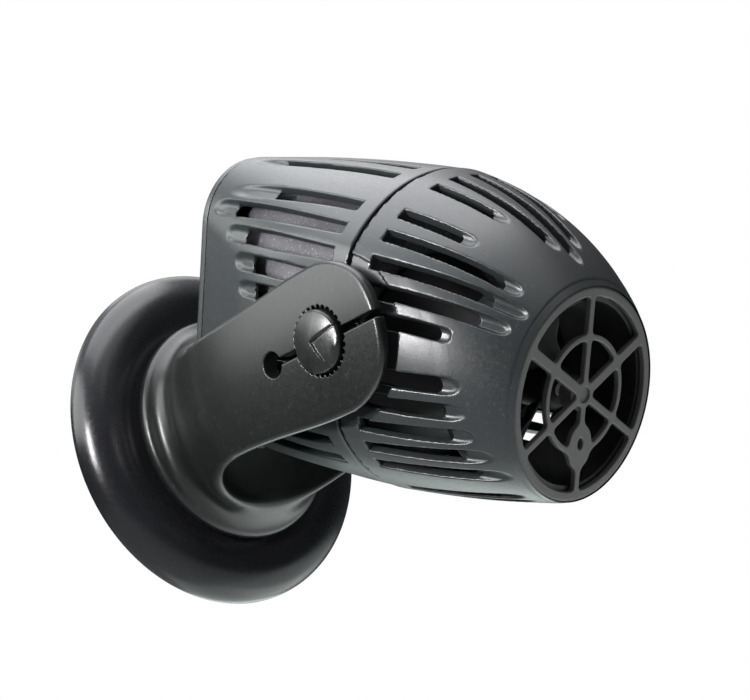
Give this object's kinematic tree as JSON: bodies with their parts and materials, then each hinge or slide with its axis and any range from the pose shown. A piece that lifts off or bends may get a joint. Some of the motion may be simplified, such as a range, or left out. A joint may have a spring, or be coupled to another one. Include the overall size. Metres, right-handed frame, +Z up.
{
  "type": "wave maker pump",
  "caption": "Aquarium wave maker pump: slotted ovoid body with a round outlet grille, tilting in a forked yoke that swivels on a round suction and magnet mount.",
  "frame": {"origin": "centre of the mount's face on the aquarium glass", "axes": "+Y into the glass, -Y is the way the pump blows, +Z up, +X to the right when looking along +Y"},
  "size_m": [0.088, 0.1301, 0.1021],
  "materials": {
    "cup_rubber": "satin",
    "casing_plastic": "satin, fine sparkle",
    "yoke_plastic": "satin",
    "grille_plastic": "satin",
    "motor_resin": "speckled matte",
    "white_acetal": "satin",
    "propeller_plastic": "satin",
    "ferrite": "sintered",
    "stainless": "brushed",
    "lamination_steel": "stacked sheet",
    "copper_wire": "enamelled wire",
    "ceramic": "polished",
    "seal_rubber": "matte"
  },
  "bodies": {
    "mount": {"suction_cup": "cup_rubber", "magnet_housing": "yoke_plastic", "mount_magnet": "ferrite", "magnet_cover": "seal_rubber", "slip_ring": "white_acetal", "pivot_washer": "stainless", "pivot_screw": "stainless"},
    "yoke_arm": {"yoke": "yoke_plastic"},
    "pump_body": {"front_casing": "casing_plastic", "rear_casing": "casing_plastic", "seam_ring": "seal_rubber", "rear_cap": "casing_plastic", "cap_screws": "stainless", "cable_gland": "seal_rubber", "outlet_grille": "grille_plastic", "outlet_duct": "propeller_plastic", "left_trunnion": "yoke_plastic", "right_trunnion": "yoke_plastic", "motor_can": "motor_resin", "rotor_well": "motor_resin", "flow_guide": "propeller_plastic", "stator_core": "lamination_steel", "coil_bobbins": "white_acetal", "coil_windings": "copper_wire", "vibration_pads": "seal_rubber", "rotor_shaft": "ceramic", "rear_bush": "seal_rubber", "front_bush": "seal_rubber"},
    "rotor": {"rotor_magnet": "ferrite", "rotor_sleeve": "propeller_plastic", "thrust_washer": "ceramic", "propeller": "propeller_plastic"}
  },
  "joints": [
    {"name": "swivel", "type": "hinge", "parent": "mount", "child": "yoke_arm", "pos_m": [0, -0.0105, 0], "axis": [0, 1, 0], "continuous": true},
    {"name": "tilt", "type": "hinge", "parent": "yoke_arm", "child": "pump_body", "pos_m": [0, -0.0854, 0], "axis": [1, 0, 0], "range_deg": [-87.4, 30]},
    {"name": "rotor_spin", "type": "hinge", "parent": "pump_body", "child": "rotor", "pos_m": [0, -0.08199, -0.00623], "axis": [0, -0.8771, -0.4802], "continuous": true}
  ]
}
